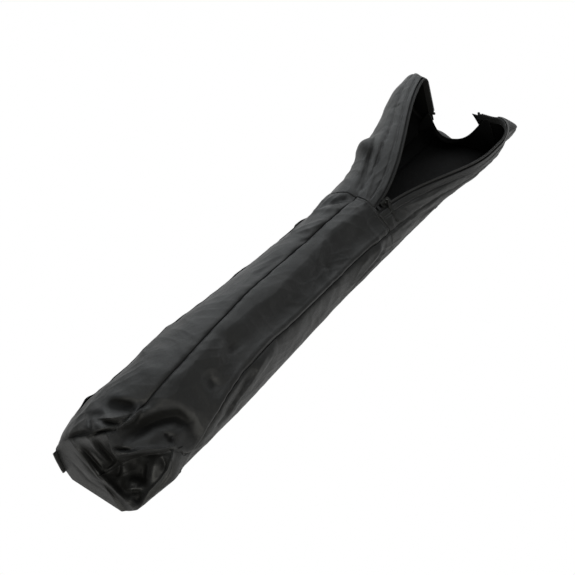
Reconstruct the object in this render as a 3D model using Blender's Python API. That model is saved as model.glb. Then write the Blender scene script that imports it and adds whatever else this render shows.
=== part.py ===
"""Soft carry case for a telescope tripod: a long nylon tube lying on the floor.

Units are metres, +Z is up, +X runs from the foot end to the zipped mouth.
The section angle is measured from the front (-Y) side, over the top, to the back.
"""
import math

import bmesh
import bpy
from mathutils import Matrix, Vector

# Body of the bag
MOUTH_X = 0.525
FOOT_HALF_WIDTH = 0.084
MID_HALF_WIDTH = 0.0715
TAPER_START_X = -0.32
TAPER_LENGTH = 0.40
HEIGHT_PER_HALF_WIDTH = 1.64
WIDEST_LEVEL = 0.40
FLOOR_DIP = 0.004
WALL = 0.002
GAP = 0.0005

# Seam and fold lines as section angles, degrees
SEAM_FRONT = 26.0
SEAM_BACK = 87.0
ZIP_ANGLE = 56.0
FOLD_FRONT = -30.0
FOLD_BACK = 210.0
FLOOR_FRONT = -60.0
FLOOR_BACK = 240.0
FABRIC_EDGE = 6.0
SEAM_GAP = 0.4

# Slumped foot end: rim points as section angle, x, y, z, and the x where the tube starts to come in
FOOT_RIM = (
    (-60.0, -0.526, -0.0594, 0.000), (-40.0, -0.523, -0.0825, 0.015), (-28.0, -0.506, -0.0865, 0.0285),
    (-20.0, -0.483, -0.0865, 0.033), (-10.0, -0.464, -0.086, 0.042), (4.0, -0.451, -0.085, 0.059),
    (18.0, -0.438, -0.078, 0.078), (32.0, -0.458, -0.066, 0.083), (44.0, -0.479, -0.053, 0.087),
    (56.0, -0.500, -0.040, 0.091), (66.0, -0.514, -0.029, 0.094), (74.0, -0.508, -0.021, 0.116),
    (80.0, -0.503, -0.016, 0.134), (90.0, -0.515, -0.004, 0.134), (100.0, -0.524, 0.006, 0.130),
    (118.0, -0.526, 0.025, 0.112), (138.0, -0.526, 0.042, 0.096), (160.0, -0.526, 0.060, 0.076),
    (182.0, -0.526, 0.074, 0.055), (205.0, -0.528, 0.068, 0.034), (222.0, -0.529, 0.058, 0.015),
    (240.0, -0.529, 0.047, 0.000))
FOOT_START = (
    (-60.0, -0.46), (-30.0, -0.44), (0.0, -0.40), (18.0, -0.385), (30.0, -0.378), (45.0, -0.398),
    (60.0, -0.415), (75.0, -0.44), (95.0, -0.455), (130.0, -0.46), (240.0, -0.47))
FOOT_STEP = 0.028
FOOT_HUB = (-0.531, -0.010, 0.054)
FOOT_SINK = 0.045
FOOT_LIP = 0.94
CREASE_BASE = -38.0
CREASE_TOP = 138.0

# Open mouth
CROSS_SEAM_X = 0.160
VEE_X = 0.185
TUCK_X = 0.193
FLAP_X = 0.450
OPEN_BACK = 51.0
OPEN_FRONT = 48.0
TURN_BACK = (0.14, 0.50)
TURN_FRONT = (0.14, 0.43)
TUCK_ANGLE = 13.0
BACK_END = {"zip": 0.478, "seam": 0.490, "fold": 0.505, "corner": 0.020, "seam_gap": 34.0, "fold_gap": 154.0}
FRONT_END = {"zip": 0.520, "seam": 0.546, "fold": 0.520, "corner": 0.040, "seam_gap": 28.0, "fold_gap": 86.0}
SEAM_CORNER = 0.005
END_GAP = 0.0025
ARC_PER_DEGREE = 0.00128
END_ZIP_DEPTH = 0.100

# Zip
TAPE_DEPTH = 0.0040
TAPE_THICK = 0.0007
TAPE_INNER = 0.0010
TAPE_OUTER = 0.0085
CHAIN_START_X = 0.206
CHAIN_TOP = 0.0004
CHAIN_BASE = 0.0026
CHAIN_OUTER = 0.0034
TOOTH_REACH = 0.0003
TOOTH_ROOT = 0.0017
TOOTH_PITCH = 0.004
SLIDER_LENGTH = 0.024
SLIDER_WIDTH = 0.011
SLIDER_TOP = 0.0022
SLIDER_BASE = -0.0074
PULL_LENGTH = 0.043
PULL_WIDTH = 0.0075
PULL_THICK = 0.0016
PULL_SLOPE = 54.0
BAR_HEIGHT = 0.0075

# Webbing
STRAP_ANGLE = 172.0
STRAP_DIP = 35.0
STRAP_WIDTH = 0.045
STRAP_THICK = 0.0018
STRAP_START_X = -0.518
STRAP_END_X = 0.100
STRAP_BOW = 0.006
TAB_LENGTH = 0.030


def smooth(value):
    value = min(max(value, 0.0), 1.0)
    return value * value * (3.0 - 2.0 * value)


def half_width(x):
    blend = smooth((x - TAPER_START_X) / TAPER_LENGTH)
    return FOOT_HALF_WIDTH + (MID_HALF_WIDTH - FOOT_HALF_WIDTH) * blend


def outline(x, angle):
    """Point of the section in (front distance, height)."""
    a = half_width(x)
    height = HEIGHT_PER_HALF_WIDTH * a
    level = WIDEST_LEVEL * height
    if 0.0 <= angle <= 180.0:
        rad = math.radians(angle)
        return a * math.cos(rad), level + (height - level) * math.sin(rad)
    below = -angle if angle < 0.0 else angle - 180.0
    side = 1.0 if angle < 0.0 else -1.0
    if below > 60.0:
        floor_half = a * math.sqrt(math.cos(math.radians(60.0)))
        return side * floor_half * (90.0 - below) / 30.0, 0.0
    rad = math.radians(60.0 * (below / 60.0) ** 2)
    z = level - (level + FLOOR_DIP) * math.sqrt(math.sin(rad))
    return side * a * math.sqrt(math.cos(rad)), max(z, 0.0)


def section_normal(x, angle):
    y0, z0 = outline(x, angle - 0.4)
    y1, z1 = outline(x, angle + 0.4)
    length = math.hypot(y1 - y0, z1 - z0)
    return (z1 - z0) / length, -(y1 - y0) / length


def section(x, angle, depth=0.0):
    y, z = outline(x, angle)
    if depth:
        ny, nz = section_normal(x, angle)
        y -= ny * depth
        z -= nz * depth
    return Vector((x, -y, z))


def from_table(table, angle):
    """Values of a table of rows that begin with a section angle."""
    for low, high in zip(table[:-1], table[1:]):
        if angle <= high[0]:
            share = max((angle - low[0]) / (high[0] - low[0]), 0.0)
            return [first + (last - first) * share for first, last in zip(low[1:], high[1:])]
    return list(table[-1][1:])


def foot_start(angle):
    """Where a panel begins, just behind the rim of the foot end."""
    return from_table(FOOT_RIM, angle)[0] + 0.002


def slump(x, angle):
    """How far the tube has come in to the rim: over a step on top, rounded like a pillow elsewhere."""
    start = from_table(FOOT_START, angle)[0]
    length = start - from_table(FOOT_RIM, angle)[0]
    t = min(max((start - x) / length, 0.0), 1.0)
    pillow = 1.0 - math.sqrt(1.0 - 0.995 * t * t)
    step = 0.60 * smooth(t * length / FOOT_STEP) + 0.40 * smooth(t)
    window = smooth((angle - 12.0) / 14.0) * smooth((88.0 - angle) / 14.0)
    return pillow + (step - pillow) * window


def shaped(x, angle):
    """Point of the tube with its slumped foot end."""
    spot = section(x, angle)
    come = slump(x, angle)
    if come > 0.0:
        rim = Vector(from_table(FOOT_RIM, angle))
        spot += (rim - section(rim.x, angle)) * come
    return spot


def open_angle(x, side):
    """How far the mouth wall is turned outward at x, degrees."""
    start, end = TURN_BACK if side > 0 else TURN_FRONT
    angle = (OPEN_BACK if side > 0 else OPEN_FRONT) * smooth((x - start) / (end - start))
    if side < 0 and x > TUCK_X - 0.0001:
        angle = max(angle, TUCK_ANGLE)
    return angle


def mouth_end(side):
    return BACK_END if side > 0 else FRONT_END


def wall_end(side, angle):
    """Where a mouth wall ends, by its distance round the section from the zip."""
    end = mouth_end(side)
    away = abs(angle - ZIP_ANGLE)
    table = ((0.0, end["zip"]), (end["seam_gap"], end["seam"]), (end["fold_gap"], end["fold"]))
    return from_table(table, away)[0]


def corner_radius(side, angle):
    """The corner is round at the zip and tight where the long seam meets the end."""
    corner = mouth_end(side)["corner"]
    away = abs(angle - ZIP_ANGLE) * ARC_PER_DEGREE
    return corner + (SEAM_CORNER - corner) * smooth((away - 0.014) / 0.026)


def floor_end(y):
    """The skewed low edge of the mouth end."""
    share = min(max((y + MID_HALF_WIDTH) / (2.0 * MID_HALF_WIDTH), 0.0), 1.0)
    return FRONT_END["fold"] + (BACK_END["fold"] - FRONT_END["fold"]) * share


def fold_point(side):
    y, z = outline(MOUTH_X, FOLD_BACK if side > 0 else FOLD_FRONT)
    return Vector((0.0, -y, z))


def turn_out(point, side, angle):
    pivot = fold_point(side)
    turn = Matrix.Rotation(math.radians(-side * angle), 3, "X")
    moved = turn @ (point - pivot) + pivot
    return Vector((point.x, moved.y, moved.z))


def zip_axes():
    """Zip line point at x = 0, direction towards the back, outward normal."""
    y, z = outline(MOUTH_X, ZIP_ANGLE)
    ny, nz = section_normal(MOUTH_X, ZIP_ANGLE)
    return Vector((0.0, -y, z)), Vector((0.0, nz, ny)), Vector((0.0, -ny, nz))


ZIP_POINT, ZIP_ACROSS, ZIP_OUT = zip_axes()


def steps(first, last, count):
    return [first + (last - first) * i / count for i in range(count + 1)]


def material_for(name, colour, roughness, metallic=0.0):
    material = bpy.data.materials.new(name + "_material")
    material.use_nodes = True
    shader = material.node_tree.nodes["Principled BSDF"]
    shader.inputs["Base Color"].default_value = (colour[0], colour[1], colour[2], 1.0)
    shader.inputs["Roughness"].default_value = roughness
    shader.inputs["Metallic"].default_value = metallic
    material.diffuse_color = (colour[0], colour[1], colour[2], 1.0)
    return material


NYLON = ((0.030, 0.030, 0.031), 0.55, 0.0)
WEBBING = ((0.018, 0.018, 0.019), 0.80, 0.0)
TAPE = ((0.015, 0.015, 0.016), 0.85, 0.0)
COIL = ((0.020, 0.020, 0.021), 0.40, 0.0)
METAL = ((0.060, 0.060, 0.062), 0.35, 0.9)


def finish(name, mesh_build, look, parent=None):
    mesh = bpy.data.meshes.new(name)
    mesh_build.to_mesh(mesh)
    mesh_build.free()
    mesh.materials.append(material_for(name, *look))
    part = bpy.data.objects.new(name, mesh)
    bpy.context.collection.objects.link(part)
    if parent is not None:
        part.parent = parent
        part.matrix_parent_inverse = Matrix.Translation(parent.location).inverted()
    return part


def thicken(part, thickness, offset=-1.0, even=True):
    solid = part.modifiers.new("thickness", "SOLIDIFY")
    solid.thickness = thickness
    solid.offset = offset
    solid.use_even_offset = even
    return part


def sheet(name, us, vs, point, look, thickness=WALL, keep=None, parent=None, offset=-1.0):
    """Grid surface of point(u, v) with thickness behind its outward side."""
    build = bmesh.new()
    made = {}

    def vertex(i, j):
        if (i, j) not in made:
            made[(i, j)] = build.verts.new(point(us[i], vs[j]))
        return made[(i, j)]

    for i in range(len(us) - 1):
        for j in range(len(vs) - 1):
            middle = ((us[i] + us[i + 1]) / 2.0, (vs[j] + vs[j + 1]) / 2.0)
            if keep is None or keep(*middle):
                corners = (vertex(i, j), vertex(i + 1, j), vertex(i + 1, j + 1), vertex(i, j + 1))
                build.faces.new(corners)
    part = finish(name, build, look, parent)
    part.data.shade_smooth()
    return thicken(part, thickness, offset)


def bar_along(name, stations, look, parent=None):
    """Closed bar through four-cornered stations."""
    build = bmesh.new()
    rings = [[build.verts.new(p) for p in ring] for ring in stations]
    for low, high in zip(rings[:-1], rings[1:]):
        for k in range(4):
            n = (k + 1) % 4
            build.faces.new((low[k], low[n], high[n], high[k]))
    build.faces.new(rings[0][::-1])
    build.faces.new(rings[-1])
    bmesh.ops.recalc_face_normals(build, faces=build.faces[:])
    return finish(name, build, look, parent)


def empty_at(name, location):
    pivot = bpy.data.objects.new(name, None)
    pivot.location = location
    bpy.context.collection.objects.link(pivot)
    return pivot


for old in list(bpy.data.objects):
    bpy.data.objects.remove(old, do_unlink=True)


# Panels of the closed tube. Each begins at the rim of the foot end.

def body_point(u, angle):
    if u <= 1.0:
        start = foot_start(angle)
        return shaped(start + (-0.24 - start) * u, angle)
    spot = section(u - 1.24, angle)
    spot.x = min(spot.x, floor_end(spot.y) - END_GAP)
    return spot


def body_us(end_x, breaks=()):
    far = [x + 1.24 for x in (-0.16, -0.08, 0.0, 0.08) if x < end_x - 0.02]
    far += [x + 1.24 for x in breaks] + [end_x + 1.24]
    return [0.0, 0.04, 0.10, 0.17, 0.24, 0.31, 0.40, 0.60, 1.0] + sorted(set(far))


def build_body():
    sheet(
        "top_panel", body_us(CROSS_SEAM_X),
        steps(SEAM_FRONT + SEAM_GAP, SEAM_BACK - SEAM_GAP, 10), body_point, NYLON)

    back_angles = steps(SEAM_BACK, FOLD_BACK + SEAM_GAP, 12) + steps(FOLD_BACK + 8, FLOOR_BACK, 3)
    sheet(
        "back_panel", body_us(MOUTH_X, (CROSS_SEAM_X,)), back_angles, body_point, NYLON,
        keep=lambda u, angle: u - 1.24 < CROSS_SEAM_X or angle > FOLD_BACK + SEAM_GAP)

    front_angles = steps(FLOOR_FRONT, FOLD_FRONT - SEAM_GAP, 4) + steps(FOLD_FRONT + 8, SEAM_FRONT, 6)
    front_angles += steps(SEAM_FRONT + 8, ZIP_ANGLE - FABRIC_EDGE, 2)

    def front_kept(u, angle):
        x = u - 1.24
        if x < CROSS_SEAM_X + GAP:
            return angle < SEAM_FRONT
        return x < TUCK_X or angle < FOLD_FRONT - SEAM_GAP

    sheet(
        "front_panel", body_us(MOUTH_X, (CROSS_SEAM_X + GAP, TUCK_X - GAP)),
        front_angles, body_point, NYLON, keep=front_kept)

    def floor_point(x, across):
        back = shaped(x, FLOOR_BACK).y - 0.0022
        front = shaped(x, FLOOR_FRONT).y + 0.0022
        y = front + (back - front) * (across + 1.0) / 2.0
        return Vector((min(x, floor_end(y) - END_GAP), y, 0.0))

    floor_xs = [foot_start(FLOOR_BACK), -0.520, -0.505, -0.485, -0.465]
    floor_xs += steps(TAPER_START_X, TAPER_START_X + TAPER_LENGTH, 6) + [MOUTH_X]
    sheet("bottom_panel", floor_xs, [1.0, 0.0, -1.0], floor_point, NYLON)


def end_rim(angle):
    """Edge of the foot end panel, clear of the panels behind it."""
    if angle > FLOOR_BACK:
        share = (angle - FLOOR_BACK) / (360.0 + FLOOR_FRONT - FLOOR_BACK)
        return end_rim(FLOOR_BACK).lerp(end_rim(FLOOR_FRONT), share)
    rim = shaped(foot_start(angle), angle)
    slant = abs(foot_start(angle + 5.0) - foot_start(angle - 5.0)) / 0.02
    rim.x -= 0.0055 + 0.0035 * min(slant, 1.0)
    return rim


def foot_pocket(angle, reach):
    """How far the part of the end above its crease has sunk in."""
    if angle <= CREASE_BASE or angle >= CREASE_TOP:
        return 0.0
    share = (angle - CREASE_BASE) / (CREASE_TOP - CREASE_BASE)
    inner = min(reach / FOOT_LIP, 1.0)
    return FOOT_SINK * math.sin(math.pi * share) ** 0.7 * 4.0 * inner * (1.0 - inner)


def build_foot_end():
    """End panel folded along a chord: flat below it, sunk in above it."""
    build = bmesh.new()
    angles = steps(FLOOR_FRONT, FLOOR_BACK, 30) + [255.0, 270.0, 285.0]
    centre = Vector(FOOT_HUB)
    rings = []
    for reach in (0.20, 0.42, 0.64, 0.82, FOOT_LIP, 1.0):
        ring = []
        for angle in angles:
            sunk = foot_pocket(angle, reach)
            point = centre.lerp(end_rim(angle), reach) + Vector((sunk, 0.0, -0.25 * sunk))
            ring.append(build.verts.new(point))
        rings.append(ring)
    hub = build.verts.new(centre)
    count = len(angles)
    for j in range(count):
        n = (j + 1) % count
        build.faces.new((hub, rings[0][j], rings[0][n]))
        for inner, outer in zip(rings[:-1], rings[1:]):
            build.faces.new((inner[j], outer[j], outer[n], inner[n]))
    part = finish("foot_end_panel", build, NYLON)
    part.data.shade_smooth()
    thicken(part, WALL, even=False)


def build_mouth_end():
    """Low fixed strip of the mouth end, under the zip."""
    build = bmesh.new()
    outline_points = [outline(MOUTH_X, angle) for angle in steps(FLOOR_FRONT, FOLD_FRONT - 3.0, 4)]
    outline_points += [(-0.0095, 0.0145), (-0.0215, 0.0215)]
    outline_points += [outline(MOUTH_X, angle) for angle in steps(FOLD_BACK + 3.0, FLOOR_BACK, 4)]
    face = build.faces.new([build.verts.new((floor_end(-y), -y, z)) for y, z in outline_points])
    face.normal_update()
    if face.normal.x < 0.0:
        face.normal_flip()
    thicken(finish("mouth_end_panel", build, NYLON), WALL)


# Walls of the open mouth, turned outward about the fold lines near the floor.

def wall_angles(side):
    if side > 0:
        return steps(ZIP_ANGLE + FABRIC_EDGE, FOLD_BACK - SEAM_GAP, 11)
    return steps(FOLD_FRONT + SEAM_GAP, ZIP_ANGLE - FABRIC_EDGE, 7)


def build_wall(name, side, first_x):
    def point(x, angle):
        return turn_out(section(x, angle), side, open_angle(x, side))

    sheet(name, steps(first_x, FLAP_X - GAP, 12), wall_angles(side), point, NYLON)


def build_flap(name, side, opening, pivot):
    """Last part of a wall, with its corner bent in to meet the end panel."""
    def point(share, angle):
        radius = corner_radius(side, angle)
        bend_start = wall_end(side, angle) - radius
        last = bend_start + radius * math.pi / 2.0 - 0.0020
        run = FLAP_X + (last - FLAP_X) * share
        bend = max(run - bend_start, 0.0) / radius
        x = min(run, bend_start) + radius * math.sin(bend)
        return turn_out(section(x, angle, radius * (1.0 - math.cos(bend))), side, opening)

    shares = [0.0, 0.2, 0.4, 0.55, 0.7, 0.8, 0.88, 0.94, 1.0]
    sheet(name, shares, wall_angles(side), point, NYLON, parent=pivot)


def build_end_half(name, side, opening, pivot):
    """Half of the mouth end panel, from the zip line to the wall."""
    end = mouth_end(side)
    edge = ZIP_POINT + ZIP_ACROSS * (side * 0.0075)
    angles = wall_angles(side)
    if side < 0:
        angles = angles[::-1]

    def point(along, across):
        place = along * (len(angles) - 1)
        low = min(int(place), len(angles) - 2)
        angle = angles[low] + (angles[low + 1] - angles[low]) * (place - low)
        rim = section(wall_end(side, angle), angle, corner_radius(side, angle))
        inner = edge - ZIP_OUT * (end["corner"] + (END_ZIP_DEPTH - end["corner"]) * along)
        inner.x = end["zip"]
        return turn_out(inner.lerp(rim, across), side, opening)

    acrosses = [0.0, 0.5, 1.0] if side < 0 else [1.0, 0.5, 0.0]
    sheet(name, steps(0.0, 1.0, len(angles) - 1), acrosses, point, NYLON, parent=pivot)


# Zip: tapes and toothed chains on the fixed walls and on the flaps.

def zip_wall_point(x, side, across, depth):
    spot = ZIP_POINT + ZIP_ACROSS * (side * across) - ZIP_OUT * depth
    spot.x = x
    return turn_out(spot, side, open_angle(x, side))


def zip_flap_point(run, side, opening, across, depth):
    """Along the flap, round the mouth corner and down the end panel."""
    end = mouth_end(side)
    corner = end["corner"]
    straight = end["zip"] - corner - FLAP_X
    bend = corner * math.pi / 2.0
    if run < straight:
        x, drop, tilt = FLAP_X + run, 0.0, 0.0
    elif run < straight + bend:
        tilt = (run - straight) / corner
        x = end["zip"] - corner + corner * math.sin(tilt)
        drop = corner - corner * math.cos(tilt)
    else:
        tilt = math.pi / 2.0
        x = end["zip"]
        drop = corner + run - straight - bend
    x -= depth * math.sin(tilt)
    drop += depth * math.cos(tilt)
    spot = ZIP_POINT + ZIP_ACROSS * (side * across) - ZIP_OUT * drop
    spot.x = x
    return turn_out(spot, side, opening)


def tooth_stations(first, last):
    count = int((last - first) / TOOTH_PITCH)
    marks = []
    for i in range(count):
        start = first + i * TOOTH_PITCH
        marks.append((start, TOOTH_REACH))
        marks.append((start + 0.0019, TOOTH_REACH))
        marks.append((start + 0.0023, TOOTH_ROOT))
        marks.append((start + 0.0036, TOOTH_ROOT))
    return marks


def build_zip_run(prefix, side, place, first, last, parent=None, tape_last=None):
    runs = steps(first, last if tape_last is None else tape_last, 22)
    widths = [TAPE_INNER, TAPE_OUTER]
    if side < 0:
        widths = widths[::-1]

    def tape_point(run, across):
        return place(run, side, across, TAPE_DEPTH)

    sheet(prefix + "_tape", runs, widths, tape_point, TAPE, thickness=TAPE_THICK, parent=parent)
    stations = []
    for run, reach in tooth_stations(first, last):
        stations.append([
            place(run, side, reach, CHAIN_TOP), place(run, side, CHAIN_OUTER, CHAIN_TOP),
            place(run, side, CHAIN_OUTER, CHAIN_BASE), place(run, side, reach, CHAIN_BASE)])
    bar_along(prefix + "_chain", stations, COIL, parent)


def build_stop(name, side, place, first, parent):
    stations = []
    for run in (first, first + 0.004):
        stations.append([
            place(run, side, 0.0003, 0.0), place(run, side, 0.0042, 0.0),
            place(run, side, 0.0042, 0.0027), place(run, side, 0.0003, 0.0027)])
    bar_along(name, stations, METAL, parent)


def build_zip_start():
    """Closed end of both tapes behind the slider, with its clamped stop."""
    def tape_point(x, across):
        spot = ZIP_POINT + ZIP_ACROSS * across - ZIP_OUT * TAPE_DEPTH
        spot.x = x
        return spot

    sheet(
        "zip_start_tape", [CROSS_SEAM_X - 0.010, CROSS_SEAM_X + 0.0115],
        [-TAPE_OUTER, TAPE_OUTER], tape_point, TAPE, thickness=TAPE_THICK)
    stations = []
    for x in (CROSS_SEAM_X + 0.004, CROSS_SEAM_X + 0.0095):
        ring = []
        for across, depth in ((-0.004, 0.0), (0.004, 0.0), (0.004, 0.0027), (-0.004, 0.0027)):
            spot = ZIP_POINT + ZIP_ACROSS * across - ZIP_OUT * depth
            spot.x = x
            ring.append(spot)
        stations.append(ring)
    bar_along("zip_bottom_stop", stations, METAL)


# Slider: two plates joined by the wedge post, with lips that hold the chains.

def slider_frame():
    frame = Matrix.Identity(4)
    for row in range(3):
        frame[row][0] = 1.0 if row == 0 else 0.0
        frame[row][1] = ZIP_ACROSS[row]
        frame[row][2] = ZIP_OUT[row]
        frame[row][3] = ZIP_POINT[row]
    frame[0][3] = VEE_X
    return frame


SLIDER = slider_frame()


def block(name, low, high, look, bevel=0.0, parent=None):
    build = bmesh.new()
    bmesh.ops.create_cube(build, size=1.0)
    low = Vector(low)
    high = Vector(high)
    for vert in build.verts:
        vert.co = Vector([low[k] + (vert.co[k] + 0.5) * (high[k] - low[k]) for k in range(3)])
    if bevel:
        sharp = [e for e in build.edges if abs((e.verts[0].co - e.verts[1].co).normalized().z) > 0.9]
        bmesh.ops.bevel(
            build, geom=sharp, offset=bevel, segments=3, profile=0.5, affect="EDGES", material=-1)
    build.transform(SLIDER)
    return finish(name, build, look, parent)


def cut(part, cutter, operation):
    change = part.modifiers.new(cutter.name, "BOOLEAN")
    change.operation = operation
    change.solver = "EXACT"
    change.object = cutter
    cutter.hide_render = True
    cutter.display_type = "WIRE"


def wedge(name, parent):
    build = bmesh.new()
    plan = [(0.0110, 0.0026), (0.0020, 0.0), (0.0110, -0.0026)]
    low = [build.verts.new((x, y, -0.0060)) for x, y in plan]
    face = build.faces.new(low)
    made = bmesh.ops.extrude_face_region(build, geom=[face])
    moved = [v for v in made["geom"] if isinstance(v, bmesh.types.BMVert)]
    bmesh.ops.translate(build, verts=moved, vec=(0.0, 0.0, 0.0067))
    bmesh.ops.recalc_face_normals(build, faces=build.faces[:])
    build.transform(SLIDER)
    return finish(name, build, METAL, parent)


def build_slider(pivot):
    half_l = SLIDER_LENGTH / 2.0
    half_w = SLIDER_WIDTH / 2.0
    body = block(
        "zip_slider", (-half_l, -half_w, SLIDER_BASE), (half_l, half_w, SLIDER_TOP),
        METAL, bevel=0.0028, parent=pivot)
    channel = block(
        "slider_channel", (-0.02, -half_w + 0.001, -0.0056), (0.02, half_w - 0.001, 0.0004), METAL)
    slot = block("slider_slot", (-0.02, -0.01, -0.0056), (0.02, 0.01, -0.0028), METAL)
    cut(body, channel, "DIFFERENCE")
    cut(body, slot, "DIFFERENCE")
    cut(body, wedge("slider_wedge", None), "UNION")

    build = bmesh.new()
    low = SLIDER_TOP + 0.0003
    profile = [
        (-0.0070, low), (-0.0062, BAR_HEIGHT - 0.0002), (-0.0048, BAR_HEIGHT + 0.0008),
        (0.0048, BAR_HEIGHT + 0.0008), (0.0062, BAR_HEIGHT - 0.0002), (0.0070, low),
        (0.0054, low), (0.0048, BAR_HEIGHT - 0.0008), (-0.0048, BAR_HEIGHT - 0.0008),
        (-0.0054, low)]
    face = build.faces.new([build.verts.new((x, -0.0011, z)) for x, z in profile])
    made = bmesh.ops.extrude_face_region(build, geom=[face])
    moved = [v for v in made["geom"] if isinstance(v, bmesh.types.BMVert)]
    bmesh.ops.translate(build, verts=moved, vec=(0.0, 0.0022, 0.0))
    bmesh.ops.recalc_face_normals(build, faces=build.faces[:])
    build.transform(SLIDER)
    finish("zip_slider_bridge", build, METAL, pivot)


def build_pull(pivot):
    """Ring round the bridge bar with a tab that hangs down the front side."""
    slope = math.radians(PULL_SLOPE)
    run = Vector((0.0, -math.cos(slope), -math.sin(slope)))
    lift = Vector((0.0, -math.sin(slope), math.cos(slope)))
    centre = SLIDER @ Vector((0.0, 0.0, BAR_HEIGHT))

    build = bmesh.new()
    ring_sides = 16
    loops = []
    for x, radius in ((-0.001, 0.0032), (0.001, 0.0032), (0.001, 0.0018), (-0.001, 0.0018)):
        loop = []
        for k in range(ring_sides):
            turn = 2.0 * math.pi * k / ring_sides
            spot = centre + run * (radius * math.cos(turn)) + lift * (radius * math.sin(turn))
            spot.x += x
            loop.append(build.verts.new(spot))
        loops.append(loop)
    for a in range(4):
        first = loops[a]
        second = loops[(a + 1) % 4]
        for k in range(ring_sides):
            n = (k + 1) % ring_sides
            build.faces.new((first[k], first[n], second[n], second[k]))
    bmesh.ops.recalc_face_normals(build, faces=build.faces[:])
    pull = finish("zip_pull", build, METAL, pivot)

    build = bmesh.new()
    outline_points = []
    tip = PULL_LENGTH - PULL_WIDTH / 2.0
    for k in range(9):
        turn = -math.pi / 2.0 + math.pi * k / 8
        outline_points.append((math.sin(turn) * PULL_WIDTH / 2.0, tip + math.cos(turn) * PULL_WIDTH / 2.0))
    outline_points += [(PULL_WIDTH / 2.0, 0.0100), (0.0016, 0.0025), (-0.0016, 0.0025)]
    outline_points += [(-PULL_WIDTH / 2.0, 0.0100)]
    low = []
    for x, along in outline_points:
        spot = centre + run * along - lift * (PULL_THICK / 2.0)
        spot.x += x
        low.append(build.verts.new(spot))
    face = build.faces.new(low)
    made = bmesh.ops.extrude_face_region(build, geom=[face])
    moved = [v for v in made["geom"] if isinstance(v, bmesh.types.BMVert)]
    bmesh.ops.translate(build, verts=moved, vec=lift * PULL_THICK)
    bmesh.ops.recalc_face_normals(build, faces=build.faces[:])
    cut(pull, finish("pull_tab", build, METAL), "UNION")


# Webbing on the back side.

def strap_point(x, across, lift=0.0):
    """Low at the foot end, then along the back, standing off in two slack bows."""
    angle = STRAP_ANGLE + STRAP_DIP * smooth((-0.455 - x) / 0.060)
    spot = shaped(x, angle)
    down = shaped(x, angle + 12.0) - shaped(x, angle - 12.0)
    down.normalize()
    out = Vector((0.0, -down.z, down.y))
    bow = STRAP_BOW * (math.exp(-((x + 0.447) / 0.025) ** 2) + 0.8 * math.exp(-((x + 0.26) / 0.07) ** 2))
    return spot + out * (0.0014 + bow + lift) + down * across


def build_webbing():
    half = STRAP_WIDTH / 2.0
    foot_xs = [STRAP_START_X, -0.512, -0.504, -0.496, STRAP_START_X + TAB_LENGTH]
    strap_xs = foot_xs + [-0.475, -0.460, -0.447, -0.434, -0.420] + steps(-0.400, STRAP_END_X, 16)
    sheet("carry_strap", strap_xs, [-half, half], strap_point, WEBBING, thickness=STRAP_THICK, offset=1.0)
    lift = STRAP_THICK + 0.0006
    mouth_xs = [STRAP_END_X - TAB_LENGTH, STRAP_END_X]
    for name, tab_xs in (("strap_tab_foot", foot_xs), ("strap_tab_mouth", mouth_xs)):
        sheet(
            name, tab_xs, [-half, half],
            lambda x, across: strap_point(x, across, lift), WEBBING, thickness=0.0016, offset=1.0)


back_pivot = empty_at("back_fold", fold_point(1) + Vector((0.4875, 0.0, 0.0)))
front_pivot = empty_at("front_fold", fold_point(-1) + Vector((0.4875, 0.0, 0.0)))
slider_pivot = empty_at("slider_run", SLIDER.translation)
pull_pivot = empty_at("pull_bar", SLIDER @ Vector((0.0, 0.0, BAR_HEIGHT)))

build_body()
build_foot_end()
build_mouth_end()
build_zip_start()
build_wall("back_mouth_wall", 1, CROSS_SEAM_X + GAP)
build_wall("front_mouth_wall", -1, TUCK_X)
sides = (("back", 1, OPEN_BACK, back_pivot), ("front", -1, OPEN_FRONT, front_pivot))
for word, side, opening, pivot in sides:
    build_flap(word + "_flap", side, opening, pivot)
    build_end_half(word + "_end_panel", side, opening, pivot)
    build_zip_run(word + "_zip", side, zip_wall_point, CHAIN_START_X, FLAP_X - GAP)

    def on_flap(run, way, across, depth, opening=opening):
        return zip_flap_point(run, way, opening, across, depth)

    end = mouth_end(side)
    run_end = end["zip"] - FLAP_X + end["corner"] * (math.pi / 2.0 - 2.0) + END_ZIP_DEPTH - 0.018
    build_zip_run(word + "_flap_zip", side, on_flap, 0.0005, run_end, pivot, run_end + 0.008)
    build_stop(word + "_top_stop", side, on_flap, run_end + 0.001, pivot)
build_slider(slider_pivot)
build_pull(pull_pivot)
build_webbing()
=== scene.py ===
import math

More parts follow.
